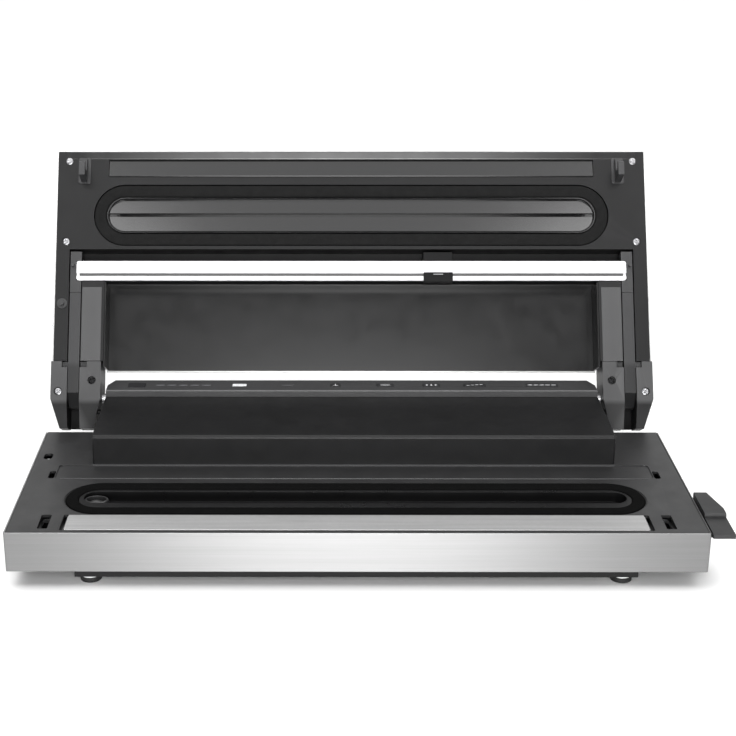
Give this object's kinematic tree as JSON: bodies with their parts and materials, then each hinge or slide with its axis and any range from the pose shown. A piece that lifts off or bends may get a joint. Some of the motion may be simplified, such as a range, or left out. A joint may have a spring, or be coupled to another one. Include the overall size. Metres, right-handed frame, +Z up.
{
  "type": "vacuum sealer",
  "caption": "Countertop vacuum bag sealer with a raised hinged lid, foam gaskets round a trough, a seal bar, a swing-down film cutter and a side latch lever.",
  "frame": {"origin": "on the table, under the middle of the base's 495 mm width and 232 mm depth", "axes": "+X to the user's right along the seal bar, +Y to the back, +Z up"},
  "size_m": [0.5113, 0.318, 0.2514],
  "materials": {
    "black_shell": "fine satin texture",
    "black_parts": "satin",
    "gloss_black": "polished",
    "light_shell": "fine satin",
    "brushed": "brushed lengthwise",
    "steel_parts": "plain",
    "rail_metal": "satin anodised",
    "bright_screw": "bright",
    "foam": "closed-cell foam",
    "silicone": "satin",
    "foot_rubber": "matt",
    "tape": "woven, coated",
    "hose_rubber": "translucent silicone",
    "screen": "smoked window",
    "lens": "milky",
    "board": "coated board",
    "copper": "enamelled wire",
    "iron": "laminated",
    "nichrome": "plain"
  },
  "bodies": {
    "base": {"lower_housing": "black_shell", "deck_plate": "black_shell", "steel_band": "brushed", "machine_cover": "black_shell", "control_panel": "black_shell", "display_window": "screen", "indicator_lens": "lens", "circuit_board": "board", "key_switches": "black_parts", "drip_tray": "black_parts", "lower_gasket": "foam", "suction_port": "light_shell", "seal_bar": "rail_metal", "heating_wires": "nichrome", "release_tape": "tape", "shaft_bushes": "black_parts", "lever_spring": "steel_parts", "microswitch": "black_parts", "pump_motor": "steel_parts", "pump_head": "black_parts", "pump_cradle": "black_parts", "vacuum_hose": "hose_rubber", "transformer_core": "iron", "transformer_coil": "copper", "hinge_brackets": "steel_parts", "hinge_pins": "steel_parts", "foot_collars": "light_shell", "foot_pads": "foot_rubber", "housing_screws": "steel_parts", "cord_gland": "foot_rubber"},
    "lid": {"lid_cover": "brushed", "lid_inner_panel": "black_shell", "recess_liner": "black_shell", "chamber_insert": "black_parts", "upper_gasket": "foam", "pressing_strip": "silicone", "latch_hooks": "black_parts", "switch_peg": "black_parts", "lid_grips": "black_parts", "lid_screws": "bright_screw", "hinge_block_left": "gloss_black", "hinge_block_right": "gloss_black", "hinge_screws": "bright_screw"},
    "cutter": {"cutter_arm_left": "black_parts", "cutter_arm_right": "black_parts", "rail_holders": "black_parts", "cutter_rail": "rail_metal"},
    "slider": {"cutter_slider": "gloss_black", "cutter_blade": "steel_parts"},
    "lever_and_shaft": {"lever": "gloss_black", "latch_shaft": "steel_parts"},
    "latch_slide": {"latch_plate": "steel_parts"},
    "plunger": {"switch_plunger": "light_shell"},
    "pump_rotor": {"pump_shaft": "steel_parts"},
    "power_key": {"key_power": "black_parts"},
    "seal_key": {"key_seal": "black_parts"},
    "vacuum_key": {"key_vacuum": "black_parts"},
    "pulse_key": {"key_pulse": "black_parts"},
    "mode_key": {"key_mode": "black_parts"}
  },
  "joints": [
    {"name": "lid_hinge", "type": "hinge", "parent": "base", "child": "lid", "pos_m": [0, 0.09005, 0.06356], "axis": [-1, 0, 0], "range_deg": [-119.1, 0]},
    {"name": "cutter_swing", "type": "hinge", "parent": "lid", "child": "cutter", "pos_m": [0, 0.09005, 0.06356], "axis": [1, 0, 0], "range_deg": [0, 119.1]},
    {"name": "cutter_slide", "type": "slide", "parent": "cutter", "child": "slider", "axis": [1, 0, 0], "range_m": [-0.2615, 0.1185]},
    {"name": "lever_press", "type": "hinge", "parent": "base", "child": "lever_and_shaft", "pos_m": [0, -0.066, 0.032], "axis": [1, 0, 0], "range_deg": [0, 28], "stiffness_Nm_per_rad": 0.3, "springref_deg": -20.05},
    {"name": "latch_travel", "type": "slide", "parent": "base", "child": "latch_slide", "axis": [0, 1, 0], "range_m": [0, 0.00494]},
    {"name": "plunger_press", "type": "slide", "parent": "base", "child": "plunger", "axis": [0, 0, 1], "range_m": [-0.0015, 0], "stiffness_N_per_m": 200, "springref_m": 0.001},
    {"name": "pump_spin", "type": "hinge", "parent": "base", "child": "pump_rotor", "pos_m": [0, 0.039, 0.036], "axis": [1, 0, 0], "continuous": true},
    {"name": "power_press", "type": "slide", "parent": "base", "child": "power_key", "axis": [0, 0, 1], "range_m": [-0.0007, 0], "stiffness_N_per_m": 400, "springref_m": 0.001},
    {"name": "seal_press", "type": "slide", "parent": "base", "child": "seal_key", "axis": [0, 0, 1], "range_m": [-0.0007, 0], "stiffness_N_per_m": 400, "springref_m": 0.001},
    {"name": "vacuum_press", "type": "slide", "parent": "base", "child": "vacuum_key", "axis": [0, 0, 1], "range_m": [-0.0007, 0], "stiffness_N_per_m": 400, "springref_m": 0.001},
    {"name": "pulse_press", "type": "slide", "parent": "base", "child": "pulse_key", "axis": [0, 0, 1], "range_m": [-0.0007, 0], "stiffness_N_per_m": 400, "springref_m": 0.001},
    {"name": "mode_press", "type": "slide", "parent": "base", "child": "mode_key", "axis": [0, 0, 1], "range_m": [-0.0007, 0], "stiffness_N_per_m": 400, "springref_m": 0.001}
  ],
  "couplings": [
    {"joint": "lever_press", "follows": "latch_travel", "rad_per_m": 98.9}
  ]
}
